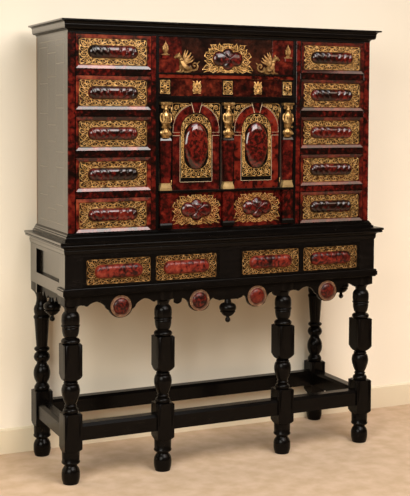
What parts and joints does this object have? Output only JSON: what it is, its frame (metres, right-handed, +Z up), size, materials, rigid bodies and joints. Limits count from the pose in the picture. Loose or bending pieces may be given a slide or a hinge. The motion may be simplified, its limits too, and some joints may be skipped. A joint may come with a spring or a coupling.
{
  "type": "cabinet on stand",
  "caption": "Tall tortoiseshell-veneered cabinet of drawers and two arched doors with pierced gilt mounts, on a turned ebonised stand with stretchers and frieze drawers",
  "frame": {"origin": "on the floor, under the middle of the outline", "axes": "+Z up, -Y towards the viewer who faces the drawers, +X to that viewer's right"},
  "size_m": [1.456, 0.5001, 1.8],
  "materials": {
    "ebonised_wood": "black polished ebonised hardwood, satin to gloss",
    "tortoiseshell_veneer": "oak faced with polished red-backed tortoiseshell",
    "gilt_brass": "cast and chased gilt brass, aged in the hollows",
    "carcase_wood": "plain oak boards, waxed"
  },
  "bodies": {
    "cabinet_on_stand": {"aprons": "ebonised_wood", "cabinet_back": "carcase_wood", "cabinet_base": "ebonised_wood", "cabinet_sides": "ebonised_wood", "cornice": "ebonised_wood", "drop_pendants": "ebonised_wood", "front_facings": "tortoiseshell_veneer", "front_leg_1": "ebonised_wood", "front_leg_2": "ebonised_wood", "front_leg_3": "ebonised_wood", "front_leg_4": "ebonised_wood", "front_stretchers": "ebonised_wood", "partitions_and_dividers": "carcase_wood", "pilaster_figures": "gilt_brass", "pilasters": "tortoiseshell_veneer", "rear_leg_left": "ebonised_wood", "rear_leg_right": "ebonised_wood", "rear_stretcher": "ebonised_wood", "roundel_bosses": "tortoiseshell_veneer", "roundel_rims": "gilt_brass", "side_stretchers": "ebonised_wood", "stand_frame": "ebonised_wood", "stand_top": "ebonised_wood", "waist_moulding": "ebonised_wood"},
    "left_drawer_1": {"left_drawer_1": "tortoiseshell_veneer", "left_drawer_1_mount": "gilt_brass"},
    "left_drawer_2": {"left_drawer_2": "tortoiseshell_veneer", "left_drawer_2_mount": "gilt_brass"},
    "left_drawer_3": {"left_drawer_3": "tortoiseshell_veneer", "left_drawer_3_mount": "gilt_brass"},
    "left_drawer_4": {"left_drawer_4": "tortoiseshell_veneer", "left_drawer_4_mount": "gilt_brass"},
    "left_drawer_5": {"left_drawer_5": "tortoiseshell_veneer", "left_drawer_5_mount": "gilt_brass"},
    "lower_drawer_left": {"lower_drawer_left": "tortoiseshell_veneer", "lower_drawer_left_mount": "gilt_brass"},
    "stand_drawer_left": {"stand_drawer_left": "ebonised_wood", "stand_drawer_left_mounts": "gilt_brass"},
    "door_left": {"door_left": "tortoiseshell_veneer", "door_left_mounts": "gilt_brass"},
    "right_drawer_1": {"right_drawer_1": "tortoiseshell_veneer", "right_drawer_1_mount": "gilt_brass"},
    "right_drawer_2": {"right_drawer_2": "tortoiseshell_veneer", "right_drawer_2_mount": "gilt_brass"},
    "right_drawer_3": {"right_drawer_3": "tortoiseshell_veneer", "right_drawer_3_mount": "gilt_brass"},
    "right_drawer_4": {"right_drawer_4": "tortoiseshell_veneer", "right_drawer_4_mount": "gilt_brass"},
    "right_drawer_5": {"right_drawer_5": "tortoiseshell_veneer", "right_drawer_5_mount": "gilt_brass"},
    "lower_drawer_right": {"lower_drawer_right": "tortoiseshell_veneer", "lower_drawer_right_mount": "gilt_brass"},
    "stand_drawer_right": {"stand_drawer_right": "ebonised_wood", "stand_drawer_right_mounts": "gilt_brass"},
    "door_right": {"door_right": "tortoiseshell_veneer", "door_right_mounts": "gilt_brass"},
    "top_drawer": {"top_drawer": "tortoiseshell_veneer", "top_drawer_mounts": "gilt_brass"},
    "frieze_drawer": {"frieze_drawer": "tortoiseshell_veneer", "frieze_drawer_mounts": "gilt_brass"}
  },
  "joints": [
    {"name": "left_drawer_1_slide", "type": "slide", "parent": "cabinet_on_stand", "child": "left_drawer_1", "axis": [0, -1, 0], "range_m": [0, 0.3]},
    {"name": "left_drawer_2_slide", "type": "slide", "parent": "cabinet_on_stand", "child": "left_drawer_2", "axis": [0, -1, 0], "range_m": [0, 0.3]},
    {"name": "left_drawer_3_slide", "type": "slide", "parent": "cabinet_on_stand", "child": "left_drawer_3", "axis": [0, -1, 0], "range_m": [0, 0.3]},
    {"name": "left_drawer_4_slide", "type": "slide", "parent": "cabinet_on_stand", "child": "left_drawer_4", "axis": [0, -1, 0], "range_m": [0, 0.3]},
    {"name": "left_drawer_5_slide", "type": "slide", "parent": "cabinet_on_stand", "child": "left_drawer_5", "axis": [0, -1, 0], "range_m": [0, 0.3]},
    {"name": "lower_drawer_left_slide", "type": "slide", "parent": "cabinet_on_stand", "child": "lower_drawer_left", "axis": [0, -1, 0], "range_m": [0, 0.3]},
    {"name": "stand_drawer_left_slide", "type": "slide", "parent": "cabinet_on_stand", "child": "stand_drawer_left", "axis": [0, -1, 0], "range_m": [0, 0.32]},
    {"name": "door_left_hinge", "type": "hinge", "parent": "cabinet_on_stand", "child": "door_left", "pos_m": [-0.247, -0.185, 1.3115], "axis": [0, 0, -1], "range_deg": [0, 90]},
    {"name": "right_drawer_1_slide", "type": "slide", "parent": "cabinet_on_stand", "child": "right_drawer_1", "axis": [0, -1, 0], "range_m": [0, 0.3]},
    {"name": "right_drawer_2_slide", "type": "slide", "parent": "cabinet_on_stand", "child": "right_drawer_2", "axis": [0, -1, 0], "range_m": [0, 0.3]},
    {"name": "right_drawer_3_slide", "type": "slide", "parent": "cabinet_on_stand", "child": "right_drawer_3", "axis": [0, -1, 0], "range_m": [0, 0.3]},
    {"name": "right_drawer_4_slide", "type": "slide", "parent": "cabinet_on_stand", "child": "right_drawer_4", "axis": [0, -1, 0], "range_m": [0, 0.3]},
    {"name": "right_drawer_5_slide", "type": "slide", "parent": "cabinet_on_stand", "child": "right_drawer_5", "axis": [0, -1, 0], "range_m": [0, 0.3]},
    {"name": "lower_drawer_right_slide", "type": "slide", "parent": "cabinet_on_stand", "child": "lower_drawer_right", "axis": [0, -1, 0], "range_m": [0, 0.3]},
    {"name": "stand_drawer_right_slide", "type": "slide", "parent": "cabinet_on_stand", "child": "stand_drawer_right", "axis": [0, -1, 0], "range_m": [0, 0.32]},
    {"name": "door_right_hinge", "type": "hinge", "parent": "cabinet_on_stand", "child": "door_right", "pos_m": [0.247, -0.185, 1.3115], "axis": [0, 0, 1], "range_deg": [0, 90]},
    {"name": "top_drawer_slide", "type": "slide", "parent": "cabinet_on_stand", "child": "top_drawer", "axis": [0, -1, 0], "range_m": [0, 0.3]},
    {"name": "frieze_drawer_slide", "type": "slide", "parent": "cabinet_on_stand", "child": "frieze_drawer", "axis": [0, -1, 0], "range_m": [0, 0.3]}
  ]
}
